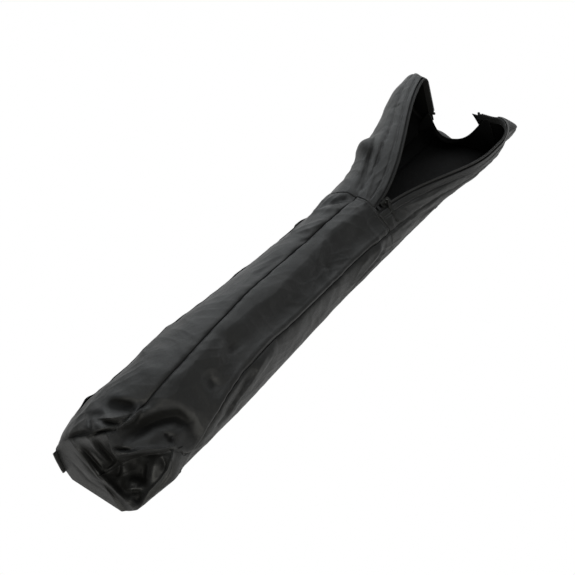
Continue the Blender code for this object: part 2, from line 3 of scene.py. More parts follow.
import bmesh
import bpy
import numpy as np
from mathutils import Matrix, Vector


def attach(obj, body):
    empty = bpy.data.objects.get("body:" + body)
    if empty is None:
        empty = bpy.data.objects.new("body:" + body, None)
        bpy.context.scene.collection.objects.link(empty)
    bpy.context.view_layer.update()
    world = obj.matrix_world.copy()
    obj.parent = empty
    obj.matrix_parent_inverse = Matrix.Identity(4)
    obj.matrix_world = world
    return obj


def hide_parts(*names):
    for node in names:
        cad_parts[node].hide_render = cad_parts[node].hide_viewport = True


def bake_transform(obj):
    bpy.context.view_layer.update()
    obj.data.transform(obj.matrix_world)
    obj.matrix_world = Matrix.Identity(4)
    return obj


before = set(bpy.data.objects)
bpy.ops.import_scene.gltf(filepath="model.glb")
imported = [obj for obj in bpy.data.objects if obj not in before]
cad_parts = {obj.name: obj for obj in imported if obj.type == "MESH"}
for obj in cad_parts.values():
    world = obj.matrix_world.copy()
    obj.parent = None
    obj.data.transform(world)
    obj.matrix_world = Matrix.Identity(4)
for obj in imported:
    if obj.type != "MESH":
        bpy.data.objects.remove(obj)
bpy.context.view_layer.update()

# The bag lies along X, foot end at -X. Section angles run from the front side (-Y) over the top.
case = {
    "footX": -0.529,
    "mouthX": 0.525,
    "footHalf": 0.084,
    "midHalf": 0.0715,
    "taper": (-0.32, 0.40),
    "heightRatio": 1.64,
    "widestLevel": 0.40,
    "floorDip": 0.004,
    "zipAngle": 56.0,
    "floorFront": -60.0,
    "floorBack": 240.0,
    "crossSeamX": 0.160,
    "veeX": 0.185,
    "middleZ": 0.045,  # height that outward is judged from
    "degree": 0.00128,  # one degree of section laid flat, m
}
seamX = case["crossSeamX"]

camera = {
    "place": (-1.4077, -1.0162, 1.7571),
    "look": (-0.047, -0.002, 0.06),
    "lens": 89.65,
    "sensor": 36.0,
    "picture": 575,
}

# How the two sides of the mouth twist open: angle, the length over which they turn, and where each ends.
# Corners are round near the zip and tight at the long seam. standUp turns the far tip back up.
mouth = {
    "seamRadius": 0.005, "roundFade": (0.014, 0.026), "zipDepth": 0.100,
    "zipGap": 6.0,  # degrees from the zip's middle to the edge of the cloth
    "lipGap": 0.0075, "endSag": 0.003,
    "zipStop": (0.005, 0.037),  # the zip's end in the closed section
    "stopFade": (0.012, 0.045), "standFade": (0.46, 0.055),
    "back": {
        "side": 1, "fold": 210.0, "open": 51.0, "standUp": 0.0, "span": (0.14, 0.50), "corner": 0.020,
        "zipEnd": 0.478, "seamEnd": 0.490, "foldEnd": 0.505, "seamGap": 34.0, "foldGap": 154.0,
        "body": "back_flap_body",
    },
    "front": {
        "side": -1, "fold": -30.0, "open": 48.0, "standUp": 9.0, "span": (0.14, 0.43), "corner": 0.040,
        "zipEnd": 0.520, "seamEnd": 0.546, "foldEnd": 0.520, "seamGap": 28.0, "foldGap": 86.0,
        "body": "front_flap_body",
    },
}


def smooth(t):
    t = np.clip(t, 0.0, 1.0)
    return t * t * (3.0 - 2.0 * t)


def hump(t):
    return np.exp(-t * t)


def bump(x, place):
    middle, reach = place
    return hump((x - middle) / reach)


def ramp(x, fade):
    # 0 to 1 from a start over a length, the other way round where the length is below zero
    start, length = fade
    return smooth((x - start) / length)


def halfWidth(x):
    return case["footHalf"] + (case["midHalf"] - case["footHalf"]) * ramp(x, case["taper"])


def outline(x, ang):
    # front distance and height of the bare section
    a = halfWidth(x)
    height = case["heightRatio"] * a
    level = case["widestLevel"] * height
    rad = np.radians(ang)
    upperY, upperZ = a * np.cos(rad), level + (height - level) * np.sin(rad)
    below = np.where(ang < 90.0, -ang, ang - 180.0)
    side = np.where(ang < 90.0, 1.0, -1.0)
    span = -case["floorFront"]
    curl = np.radians(span * (np.clip(below, 0.0, span) / span) ** 2)
    lowerY = side * a * np.sqrt(np.cos(curl))
    lowerZ = np.maximum(level - (level + case["floorDip"]) * np.sqrt(np.sin(curl)), 0.0)
    floorHalf = a * math.sqrt(0.5)
    floorY = side * floorHalf * (90.0 - below) / (90.0 - span)
    y = np.where(below > span, floorY, np.where(below > 0.0, lowerY, upperY))
    z = np.where(below > span, 0.0, np.where(below > 0.0, lowerZ, upperZ))
    return y, z


def sectionNormal(x, ang):
    y0, z0 = outline(x, ang - 0.5)
    y1, z1 = outline(x, ang + 0.5)
    size = np.hypot(y1 - y0, z1 - z0)
    return (z1 - z0) / size, -(y1 - y0) / size


# Where the two long seams wander round the section: bends as (degrees, middle, reach), and shifts as
# (degrees, start, length), towards the foot where the length is below zero
wander = {
    "front": {
        "angle": 22.0,
        "bends": [(5.0, -0.20, 0.06), (-14.0, -0.402, 0.03)],
        "shifts": [(-15.0, -0.26, -0.12), (12.0, -0.41, -0.03), (-3.0, 0.09, 0.06), (7.0, 0.20, 0.25)],
    },
    "back": {"angle": 78.0, "bends": [], "shifts": [(16.0, -0.42, 0.36), (-7.0, 0.12, 0.25)]},
}


def longSeam(word, x):
    line = wander[word]
    ang = np.full_like(x, line["angle"])
    for degrees, middle, reach in line["bends"]:
        ang = ang + degrees * bump(x, (middle, reach))
    for degrees, start, length in line["shifts"]:
        ang = ang + degrees * ramp(x, (start, length))
    return ang


def frontSeam(x):
    return longSeam("front", x)


def backSeam(x):
    return longSeam("back", x)


# The foot end, empty and slumped: its rim by section angle as (angle, x, y, z), and where along the bag each
# part of the tube starts to come in towards it
foot = {
    "rim": [
        (-60, -0.523, -0.0570, 0.000), (-40, -0.519, -0.0765, 0.015), (-28, -0.506, -0.0795, 0.0285),
        (-20, -0.483, -0.0795, 0.033), (-10, -0.464, -0.081, 0.042), (4, -0.451, -0.083, 0.059),
        (18, -0.438, -0.078, 0.082), (32, -0.458, -0.066, 0.088), (44, -0.479, -0.053, 0.096),
        (56, -0.500, -0.040, 0.101), (66, -0.512, -0.030, 0.101), (74, -0.508, -0.021, 0.116),
        (80, -0.503, -0.016, 0.138), (90, -0.515, -0.004, 0.137), (100, -0.524, 0.006, 0.130),
        (118, -0.526, 0.025, 0.112), (138, -0.526, 0.042, 0.096), (160, -0.526, 0.060, 0.076),
        (182, -0.526, 0.074, 0.055), (205, -0.528, 0.068, 0.034), (222, -0.529, 0.058, 0.015),
        (240, -0.529, 0.047, 0.000),
    ],
    "start": [(-60, -0.46), (-30, -0.44), (0, -0.40), (18, -0.385), (30, -0.378), (45, -0.398), (60, -0.415),
              (75, -0.44), (95, -0.455), (130, -0.46), (240, -0.47)],
    "rimEven": 4.0, "startEven": 6.0,  # evened out over so many degrees either way
    "hem": 0.001, "floorRound": 0.006, "roundFade": (280.0, 20.0),
    "pillow": 0.995, "step": 0.028, "stepShare": 0.60, "stepFrom": (12.0, 14.0),
    "stepTo": (88.0, -14.0),
    "calm": 0.7,  # share of the cloth's relief that is gone at the rim
    "hub": (-0.530, -0.010, 0.054), "creaseTop": 138.0, "creaseBase": -38.0, "sink": 0.034,
    "wrinkle": 0.006, "drop": 0.012, "radius": 0.09, "mergeGap": 0.00002,
}


def evened(ang, spread, angles, values):
    return np.mean([np.interp(ang + k, angles, values) for k in np.linspace(-spread, spread, 5)], axis=0)


def rimPoint(ang):
    rim = np.array(foot["rim"])
    return np.stack([evened(ang, foot["rimEven"], rim[:, 0], rim[:, axis]) for axis in (1, 2, 3)], axis=-1)


def footEdge(ang):
    return rimPoint(ang)[..., 0] + foot["hem"]


def floorStart(ang):
    # the floor's edge at the foot, rounded off at the front corner
    return case["footX"] + foot["hem"] + foot["floorRound"] * ramp(ang, foot["roundFade"])


def footSlump(x, ang):
    # how far the tube has come in to the rim, 0 to 1: over a step on the top panel, like a pillow elsewhere
    start = evened(ang, foot["startEven"], *zip(*foot["start"]))
    length = start - rimPoint(ang)[..., 0]
    t = np.clip((start - x) / length, 0.0, 1.0)
    pillow = 1.0 - np.sqrt(1.0 - foot["pillow"] * t * t)
    step = foot["stepShare"] * smooth(t * length / foot["step"]) + (1.0 - foot["stepShare"]) * smooth(t)
    return pillow + (step - pillow) * ramp(ang, foot["stepFrom"]) * ramp(ang, foot["stepTo"])


# Folds on the laid-out fabric: from and to as (x, angle), width and rise in mm, sharp from 0 to 1
sharpFall = 1.6  # how fast a sharp fold falls off
folds = [
    {"from": (-0.43, 66), "to": (-0.43, 38), "width": 40, "rise": -14, "sharp": 0.0},
    {"from": (-0.50, 92), "to": (-0.44, 74), "width": 12, "rise": 5, "sharp": 0.5},
    {"from": (-0.455, 92), "to": (-0.42, 84), "width": 12, "rise": -5, "sharp": 0.3},
    {"from": (-0.245, 68), "to": (-0.255, 36), "width": 13, "rise": -4, "sharp": 0.4},
    {"from": (-0.315, 46), "to": (-0.31, 30), "width": 14, "rise": -4, "sharp": 0.2},
    {"from": (-0.337, 42), "to": (-0.335, 28), "width": 12, "rise": 2, "sharp": 0.1},
    {"from": (0.03, 76), "to": (0.0, 62), "width": 10, "rise": 3, "sharp": 0.5},
    {"from": (0.13, 72), "to": (0.06, 78), "width": 12, "rise": 3, "sharp": 0.3},
    {"from": (0.03, 126), "to": (0.07, 99), "width": 8, "rise": 4, "sharp": 0.7},
    {"from": (0.095, 128), "to": (0.115, 101), "width": 8, "rise": 4, "sharp": 0.7},
    {"from": (0.10, 160), "to": (0.15, 96), "width": 12, "rise": -6, "sharp": 0.3},
    {"from": (0.145, 150), "to": (0.24, 180), "width": 12, "rise": 4, "sharp": 0.4},
    {"from": (-0.19, 18), "to": (-0.30, -8), "width": 9, "rise": 3, "sharp": 0.4},
    {"from": (-0.21, 8), "to": (-0.29, -4), "width": 9, "rise": -3, "sharp": 0.3},
    {"from": (-0.25, 16), "to": (-0.34, -6), "width": 9, "rise": -3, "sharp": 0.5},
    {"from": (0.125, 10), "to": (0.045, -10), "width": 10, "rise": 3.5, "sharp": 0.5},
    {"from": (0.14, 4), "to": (0.06, -18), "width": 12, "rise": -3.5, "sharp": 0.2},
    {"from": (-0.34, 134), "to": (-0.26, 150), "width": 10, "rise": 4, "sharp": 0.4},
]


def foldRise(x, ang):
    total = np.zeros_like(x)
    for fold in folds:
        ax, at = fold["from"][0], fold["from"][1] * case["degree"]
        bx, bt = fold["to"][0], fold["to"][1] * case["degree"]
        px, pt = x - ax, ang * case["degree"] - at
        dx, dt = bx - ax, bt - at
        length = math.hypot(dx, dt)
        along = (px * dx + pt * dt) / length
        away = np.abs(px * dt - pt * dx) / length
        over = np.maximum(np.maximum(-along, along - length), 0.0)
        near = np.hypot(away, over) * 1000.0 / fold["width"]
        crease = np.exp(-sharpFall * near)
        total += fold["rise"] / 1000.0 * (fold["sharp"] * crease + (1.0 - fold["sharp"]) * hump(near))
    return total


# Slow waves of slack cloth, in radians per metre along and round the bag, and how a second wave bends them
ripples = [
    {"share": 1.0, "wave": (31.0, 47.0), "phase": 0.6, "bend": 0.0, "by": (0.0, 0.0)},
    {"share": 0.8, "wave": (57.0, -38.0), "phase": 2.1, "bend": 0.0, "by": (0.0, 0.0)},
    {"share": 0.6, "wave": (83.0, 90.0), "phase": 4.0, "bend": 1.5, "by": (19.0, 0.0)},
    {"share": 0.4, "wave": (141.0, -120.0), "phase": 1.0, "bend": 2.0, "by": (27.0, 30.0)},
]


def ripple(x, ang):
    t = ang * case["degree"]
    total = np.zeros_like(x)
    for row in ripples:
        along, around = row["wave"]
        bend = row["bend"] * np.sin(row["by"][0] * x + row["by"][1] * t)
        total += row["share"] * np.sin(along * x + around * t + row["phase"] + bend)
    return total


# Creases of handled cloth: ridged waves (turn, pitch, phase) that bend and fade, and their strength by place
creases = {
    "waves": [(0.5, 0.034, 0.3), (-0.8, 0.027, 1.9), (1.25, 0.021, 4.1), (-1.3, 0.040, 2.6)],
    "bend": 0.8, "sharp": 1.5, "fade": 0.8, "fadeLevel": 0.35, "level": 0.6, "base": 0.35, "foot": 0.35,
    "footRamp": (-0.36, -0.08), "mouth": 0.7, "mouthBump": (0.17, 0.09), "middle": 0.12,
    "middleBump": (-0.27, 0.08),
}


def crumple(x, ang):
    t = ang * case["degree"]
    total = np.zeros_like(x)
    for turn, pitch, phase in creases["waves"]:
        bend = creases["bend"] * np.sin(23.0 * x + 31.0 * t + phase)
        run = (x * math.cos(turn) + t * math.sin(turn)) / pitch + bend
        ridge = (1.0 - np.abs(np.sin(math.pi * run))) ** creases["sharp"]
        fade = creases["fade"] * np.sin(37.0 * x - 29.0 * t + 2.0 * phase)
        total += ridge * smooth(creases["fadeLevel"] + fade)
    place = creases["base"] + creases["foot"] * ramp(x, creases["footRamp"])
    place = place + creases["mouth"] * bump(x, creases["mouthBump"])
    place = place + creases["middle"] * bump(x, creases["middleBump"])
    return (total - creases["level"]) * place


# Sunk long seams with puckers, the sewn hem beside the zip, and the raised strip along the front seam
seams = {
    "depth": 0.0036, "width": 0.0027, "pucker": 0.0004, "pitch": 0.029, "slant": 60.0, "reach": 0.010,
    "hemGap": 16.0, "hemDepth": 0.0022, "hemWidth": 0.0012, "hemFade": (seamX, 0.01), "stripGap": 5.0,
    "stripWide": 3.6, "stripRise": 0.0026, "stripFade": (0.15, -0.05),
}


def seamRise(x, ang):
    total = np.zeros_like(x)
    for line in (frontSeam(x), backSeam(x)):
        away = (ang - line) * case["degree"]
        total -= seams["depth"] * np.exp(-np.abs(away) / seams["width"])
        uneven = 3.0 * np.sin(41.0 * x) + 2.0 * np.sin(17.0 * x)
        phase = 2.0 * math.pi * x / seams["pitch"] + uneven + away * seams["slant"]
        total += seams["pucker"] * np.sin(phase) * np.exp(-np.abs(away) / seams["reach"])
    away = (np.abs(ang - case["zipAngle"]) - seams["hemGap"]) * case["degree"]
    hem = np.exp(-np.abs(away) / seams["hemWidth"])
    total -= seams["hemDepth"] * hem * ramp(x, seams["hemFade"])
    strip = (ang - frontSeam(x) - seams["stripGap"]) / seams["stripWide"]
    total += seams["stripRise"] * hump(strip) * ramp(x, seams["stripFade"])
    return total


# The top panel is slack: a flat facet between the strip at the front seam and a soft ridge
facet = {"ridge": 72.0, "gap": 9.0, "depth": 0.0085, "start": (-0.47, 0.06), "end": (0.175, -0.03)}


def topFacet(x, ang):
    ridge = facet["ridge"] + 3.0 * np.sin(24.0 * x + 1.2) + 1.2 * np.sin(67.0 * x)
    low = frontSeam(x) + facet["gap"]
    share = np.clip((ang - low) / (ridge - low), 0.0, 1.0)
    ends = ramp(x, facet["start"]) * ramp(x, facet["end"])
    return -facet["depth"] * np.sin(math.pi * share) ** 0.9 * (1.0 - share) ** 0.4 * ends


# Where the sides stand out: round as (angle, spread), and along the bag a bump (middle, reach) or a ramp
swells = [
    {"rise": 0.016, "round": (122.0, 26.0), "bump": (0.278, 0.022)},
    {"rise": 0.008, "round": (122.0, 34.0), "ramp": (0.36, 0.10)},
    {"rise": 0.005, "round": (2.0, 30.0), "ramp": (-0.12, -0.10)},
    {"rise": 0.012, "round": (-6.0, 26.0), "bump": (-0.462, 0.036)},
    {"rise": 0.006, "round": (4.0, 26.0), "bump": (0.14, 0.07)},
]


def sideSwell(x, ang):
    total = np.zeros_like(x)
    for swell in swells:
        along = bump(x, swell["bump"]) if "bump" in swell else ramp(x, swell["ramp"])
        total += swell["rise"] * bump(ang, swell["round"]) * along
    return total


# How strong the slackness is, and where it dies away: at the floor, at the mouth's folds and beside the zip
slack = {
    "ripple": 0.0006, "crumple": 0.0013, "frontLow": (-52.0, 30.0), "backLow": (232.0, -30.0),
    "foldFade": 16.0, "foldRamp": (0.10, 0.05), "zipFade": (mouth["zipGap"], 10.0),
    "zipRamp": (seamX, 0.012),
}


def clothRise(x, ang):
    upper = ramp(ang, slack["frontLow"]) * ramp(ang, slack["backLow"])
    fromFold = np.minimum(np.abs(ang - mouth["back"]["fold"]), np.abs(ang - mouth["front"]["fold"]))
    still = smooth(fromFold / slack["foldFade"])
    upper = upper * (1.0 + (still - 1.0) * ramp(x, slack["foldRamp"]))
    rise = foldRise(x, ang) + seamRise(x, ang)
    rise = rise + slack["ripple"] * ripple(x, ang) + slack["crumple"] * crumple(x, ang) + sideSwell(x, ang)
    besideZip = ramp(np.abs(ang - case["zipAngle"]), slack["zipFade"])
    rise = rise * (1.0 + (besideZip - 1.0) * ramp(x, slack["zipRamp"]))
    return rise * upper + topFacet(x, ang)


def endFor(word, ang):
    # where a mouth wall ends, by how far round the section it is from the zip
    side = mouth[word]
    gaps = (0.0, side["seamGap"], side["foldGap"])
    return np.interp(np.abs(ang - case["zipAngle"]), gaps, (side["zipEnd"], side["seamEnd"], side["foldEnd"]))


def endAt(y):
    share = np.clip((y + case["midHalf"]) / (2.0 * case["midHalf"]), 0.0, 1.0)
    return mouth["front"]["foldEnd"] + (mouth["back"]["foldEnd"] - mouth["front"]["foldEnd"]) * share


def floorEnd(ang):
    return endAt(-outline(np.full_like(ang, case["mouthX"]), ang)[0])


def tubePoint(x, ang, lift=0.0):
    y, z = outline(x, ang)
    ny, nz = sectionNormal(x, ang)
    come = footSlump(x, ang)
    rim = rimPoint(ang)
    rimY, rimZ = outline(rim[..., 0], ang)
    rise = clothRise(x, ang) * (1.0 - foot["calm"] * come) + lift
    spotY = -(y + ny * rise) + (rim[..., 1] + rimY) * come
    spotZ = z + nz * rise + (rim[..., 2] - rimZ) * come
    return np.stack([x, spotY, np.maximum(spotZ, 0.0)], axis=-1)


# Mouth walls are shaped closed and then turned out about their folds, so that turned back about them they
# would meet again
def foldPoint(word):
    y, z = outline(np.array(case["mouthX"]), np.array(mouth[word]["fold"]))
    return -float(y), float(z)


def turnOut(points, word):
    start, end = mouth[word]["span"]
    pivotY, pivotZ = foldPoint(word)
    angle = mouth[word]["open"] * ramp(points[..., 0], (start, end - start))
    stopY, stopZ = mouth["zipStop"]
    fromStop = np.hypot(points[..., 1] - stopY, points[..., 2] - stopZ)
    far = ramp(points[..., 0], mouth["standFade"]) * ramp(fromStop, mouth["stopFade"])
    angle = np.radians(angle - mouth[word]["standUp"] * far) * -mouth[word]["side"]
    y, z = points[..., 1] - pivotY, points[..., 2] - pivotZ
    turned = points.copy()
    turned[..., 1] = pivotY + y * np.cos(angle) - z * np.sin(angle)
    turned[..., 2] = pivotZ + y * np.sin(angle) + z * np.cos(angle)
    return turned


def zipAxes():
    x, ang = np.array(case["mouthX"]), np.array(case["zipAngle"])
    y, z = outline(x, ang)
    ny, nz = sectionNormal(x, ang)
    return Vector((0, -y, z)), Vector((0, nz, ny)), Vector((0, -ny, nz))


zipPoint, zipAcross, zipOut = zipAxes()

# Folds drawn over the photograph in its pixels and pressed into the cloth along the line of sight: how far the
# brush reaches in pixels, how deep it sinks in mm, and how much of it is a sharp crease
brush = {"endForce": 0.3, "ease": 0.35, "sharp": 1.8, "facing": 0.1, "facingFade": 0.3}
pleats = [
    # foot end and the cloth beside it
    {"path": [(103, 404), (119, 405), (137, 409)], "press": (6.5, 13, 0)},
    {"path": [(122, 437), (135, 432), (150, 424), (163, 419), (176, 417), (187, 424), (191, 434)],
     "press": (8, 18, 0.1)},
    {"path": [(140, 440), (155, 430), (170, 427), (182, 432)], "press": (10, -6, 0)},
    {"path": [(94, 419), (115, 417), (128, 416), (136, 412)], "press": (2.4, -8, 0.4)},
    {"path": [(98, 420), (112, 423), (124, 424)], "press": (3, 9, 0.2)},
    {"path": [(116, 427), (131, 420), (139, 409)], "press": (2.6, -6, 0.2)},
    {"path": [(117, 423), (130, 416), (136, 407)], "press": (2.4, 6, 0.2)},
    {"path": [(118, 432), (135, 423), (143, 409)], "press": (2.6, 6, 0.2)},
    {"path": [(84, 416), (95, 415), (106, 416)], "press": (5, 5, 0)},
    {"path": [(90, 419), (91, 432)], "press": (2.4, 4, 0.3)},
    {"path": [(66, 439), (78, 434.5), (93, 432)], "press": (4, 12, 0.1)},
    {"path": [(89, 436.5), (97, 433), (103, 431.5), (118, 429.5)], "press": (2, 12, 0.3)},
    {"path": [(162, 432), (169, 438), (173, 446)], "press": (4, 7, 0.1)},
    {"path": [(89, 438), (96, 449), (106, 461)], "press": (2.5, -8, 0.4)},
    {"path": [(94, 438), (102, 449), (112, 461), (118, 463)], "press": (3, 12, 0.3)},
    {"path": [(78, 445), (88, 457), (100, 471)], "press": (5, 9, 0)},
    {"path": [(86, 448), (96, 460), (105, 471)], "press": (2, -4, 0.3)},
    {"path": [(100, 436), (112, 441), (124, 446)], "press": (7, -6, 0)},
    {"path": [(111, 446.5), (120, 449.5), (132, 450.5)], "press": (2.2, 8, 0.3)},
    {"path": [(119, 452), (130, 453), (140, 449.5), (152, 448), (165, 449), (174, 446)],
     "press": (2.2, -9, 0.5)},
    {"path": [(121, 457), (140, 455), (160, 454), (170, 452)], "press": (2.6, 6, 0.2)},
    {"path": [(108, 466), (112, 474)], "press": (5, -6, 0)},
    {"path": [(119.5, 465), (118, 472), (115, 479)], "press": (2.4, 6, 0.2)},
    {"path": [(128, 481), (140, 484)], "press": (4.5, -8, 0.1)},
    {"path": [(126, 489.5), (141, 488)], "press": (2.2, -4, 0.3)},
    {"path": [(130, 493), (142, 493)], "press": (3, 6, 0.1)},
    {"path": [(133, 503), (142, 496)], "press": (4, 8, 0.1)},
    {"path": [(157, 456), (153, 470), (151, 485)], "press": (7, -10, 0.2)},
    {"path": [(146, 462), (143, 475), (144, 488)], "press": (4, 8, 0.1)},
    {"path": [(161, 455), (165, 464), (164, 472)], "press": (3, 6, 0.2)},
    {"path": [(175, 441), (173, 455), (168, 469), (160, 480), (150, 490.5), (143, 501)],
     "press": (1.7, -6, 0.5)},
    {"path": [(112, 482), (122, 492), (130, 501)], "press": (5, 8, 0)},
    {"path": [(98, 456), (114, 476), (128, 492)], "press": (9, 10, 0)},
    {"path": [(124, 460), (138, 468), (136, 490)], "press": (10, 11, 0)},
    {"path": [(73, 441), (100, 474.5), (118, 494.5), (133, 508)], "press": (1.7, -5, 0.4)},
    {"path": [(66, 455), (90, 482), (114, 503)], "press": (1.8, 3, 0.5)},
    {"path": [(74, 452), (100, 482), (122, 503)], "press": (1.6, 3, 0.5)},
    # mouth walls
    {"path": [(379, 124), (369, 158), (360, 200)], "press": (1.5, 2.8, 0.5)},
    {"path": [(383, 130), (374.5, 158), (366, 192)], "press": (3.2, -4, 0.2)},
    {"path": [(387, 99), (399.5, 93), (404.5, 80)], "press": (2.2, 3, 0.4)},
    {"path": [(391, 109), (402.5, 103.5)], "press": (1.7, 2.5, 0.5)},
    {"path": [(403, 226), (422, 212), (450, 193.5)], "press": (2.2, -3, 0.4)},
    {"path": [(400, 231), (420, 217), (446, 199.5)], "press": (2.2, 4, 0.4)},
    {"path": [(462, 182), (478, 170), (492, 162)], "press": (2.5, 3, 0.3)},
    # front side and top panel
    {"path": [(270, 352), (252, 382), (236, 404)], "press": (3.2, -5, 0.4)},
    {"path": [(240, 398), (226, 420)], "press": (2.4, -3, 0.3)},
    {"path": [(250, 279), (266, 267), (286, 254)], "press": (3.5, 4, 0.1)},
    {"path": [(292, 234), (310, 228), (325, 222)], "press": (2.6, -5, 0.5)},
    {"path": [(296, 243), (312, 238)], "press": (2.2, 3, 0.3)},
    {"path": [(323, 262), (330, 270), (333, 280)], "press": (3.5, 3, 0.2)},
    # mouth walls, broader
    {"path": [(373, 140), (364, 172), (353, 198)], "press": (3.4, 6, 0.4)},
    {"path": [(364, 148), (362, 160), (358, 178)], "press": (4.5, -4, 0.3)},
    {"path": [(392, 100), (398, 88), (404, 82)], "press": (4, -3, 0.3)},
    {"path": [(400, 208), (430, 197), (455, 184)], "press": (2.8, -3.5, 0.4)},
    {"path": [(405, 220), (425, 212), (440, 203)], "press": (2.8, 3.5, 0.4)},
    {"path": [(398, 232), (410, 228), (420, 222)], "press": (4, -3, 0.3)},
    # front side, top panel and the corner below the zip's start
    {"path": [(228, 332), (221, 355), (223, 368)], "press": (4, -3.5, 0.4)},
    {"path": [(229, 343), (237, 354)], "press": (9, 3.5, 0)},
    {"path": [(210, 376), (214, 392)], "press": (5, 4, 0)},
    {"path": [(246, 375), (232, 392), (220, 412)], "press": (3.2, -3, 0.4)},
    {"path": [(256, 372), (240, 392), (228, 408)], "press": (2.8, 3, 0.3)},
    {"path": [(316, 212), (325, 209), (336, 207)], "press": (3, -3, 0.4)},
    {"path": [(325, 205), (338, 202), (350, 197)], "press": (4.6, 5, 0.2)},
    {"path": [(376, 252), (362, 266), (353, 284)], "press": (4, -4.5, 0.4)},
    {"path": [(378, 253), (366, 267)], "press": (3.5, 2.5, 0.3)},
]


def seen(points):
    # where points land in the photograph, and the line of sight
    eye, look = np.array(camera["place"]), np.array(camera["look"])
    ahead = (look - eye) / np.linalg.norm(look - eye)
    right = np.cross(ahead, (0.0, 0.0, 1.0))
    right /= np.linalg.norm(right)
    half = camera["picture"] / 2.0
    scale = camera["picture"] * camera["lens"] / camera["sensor"] / ((points - eye) @ ahead)
    across = half + scale * ((points - eye) @ right)
    down = half - scale * ((points - eye) @ np.cross(right, ahead))
    return np.stack([across, down], axis=-1), ahead


def strokeForce(points, path, reach, crease):
    # strongest in the middle of the stroke, easing off towards both of its ends
    steps = np.linalg.norm(np.diff(path, axis=0), axis=1)
    near = np.full(len(points), np.inf)
    share = np.zeros(len(points))
    done = 0.0
    for start, end, length in zip(path[:-1], path[1:], steps):
        along = np.clip((points - start) @ (end - start) / length ** 2, 0.0, 1.0)
        away = np.linalg.norm(points - start - along[:, None] * (end - start), axis=1)
        share = np.where(away < near, (done + along * length) / steps.sum(), share)
        near = np.minimum(near, away)
        done += length
    near = near / reach
    ease = smooth(np.minimum(share, 1.0 - share) / brush["ease"])
    ease = brush["endForce"] + (1.0 - brush["endForce"]) * ease
    return (crease * np.exp(-brush["sharp"] * near) + (1.0 - crease) * hump(near)) * ease


def pleated(points, normals):
    spots, ahead = seen(points)
    sink = np.zeros(len(points))
    for fold in pleats:
        reach, depth, crease = fold["press"]
        sink += depth / 1000.0 * strokeForce(spots, np.array(fold["path"], float), reach, crease)
    sink = sink * smooth((brush["facing"] - normals @ ahead) / brush["facingFade"])
    moved = points + np.outer(sink, ahead)
    moved[:, 2] = np.maximum(moved[:, 2], 0.0)
    return moved, sink


def offAxis(points):
    # unit vectors that point away from the middle of the bag
    out = points * (0.0, 1.0, 1.0) - (0.0, 0.0, case["middleZ"])
    return out / np.linalg.norm(out, axis=1, keepdims=True)


def newPiece(name, bm, material, shadeSmooth=True):
    mesh = bpy.data.meshes.new(name)
    bm.to_mesh(mesh)
    bm.free()
    mesh.materials.append(material)
    if shadeSmooth:
        mesh.shade_smooth()
    piece = bpy.data.objects.new(name, mesh)
    bpy.context.collection.objects.link(piece)
    return piece


def gridBmesh(along, across, place, weave, outward, mergeGap=0.0, withPleats=False):
    # a grid whose vertices go where place(u, v) says, with its weave coordinates as a UV map
    bm = bmesh.new()
    bmesh.ops.create_grid(bm, x_segments=along, y_segments=across, size=0.5)
    bm.verts.ensure_lookup_table()
    uv = np.array([(v.co.x + 0.5, v.co.y + 0.5) for v in bm.verts])
    spots = place(uv[:, 0], uv[:, 1])
    cloth = np.stack(weave(uv[:, 0], uv[:, 1]), axis=-1)
    layer = bm.loops.layers.uv.new("weave")
    paintedShade = bm.verts.layers.float.new("paintedShade")
    for vert, spot in zip(bm.verts, spots):
        vert.co = spot
    for face in bm.faces:
        for loop in face.loops:
            loop[layer].uv = cloth[loop.vert.index]
    if mergeGap:
        bmesh.ops.remove_doubles(bm, verts=bm.verts[:], dist=mergeGap)
    bm.normal_update()
    facing = sum(face.normal.dot(outward(face.calc_center_median())) for face in bm.faces)
    if facing < 0.0:
        bmesh.ops.reverse_faces(bm, faces=bm.faces[:])
    # with pleats, the vertices are pressed in and each keeps how far it sank in an attribute, from which the
    # cloth's material paints shade into the folds' hollows
    if withPleats:
        bm.normal_update()
        spots, sink = pleated(np.array([v.co for v in bm.verts]), np.array([v.normal for v in bm.verts]))
        for vert, spot, shadeDepth in zip(bm.verts, spots, sink):
            vert.co = spot
            vert[paintedShade] = shadeDepth
    return bm


def thicken(piece, thickness, linedAndShaded=False):
    wall = piece.modifiers.new("wall", "SOLIDIFY")
    wall.thickness = thickness
    wall.offset = -1.0
    wall.use_even_offset = False
    # the inner face gets the coated lining, made darker to paint the shade that falls inside the bag
    if linedAndShaded:
        piece.data.materials.append(liningAndShade)
        wall.material_offset = 1
    return piece


def fromAxis(point):
    return Vector((0.0, point.y, point.z - case["middleZ"]))


# Shader maths
class Val:
    def __init__(self, sheet, socket):
        self.sheet = sheet
        self.socket = socket

    def math(self, operation, other=None, flip=False):
        pair = (other, self) if flip else (self, other)
        sockets = {spot: value for spot, value in enumerate(pair) if value is not None}
        return self.sheet.node("ShaderNodeMath", {"operation": operation}, sockets)

    def __add__(self, other):
        return self.math("ADD", other)

    def __sub__(self, other):
        return self.math("SUBTRACT", other)

    def __mul__(self, other):
        return self.math("MULTIPLY", other)

    def __rsub__(self, other):
        return self.math("SUBTRACT", other, True)

    __radd__ = __add__
    __rmul__ = __mul__


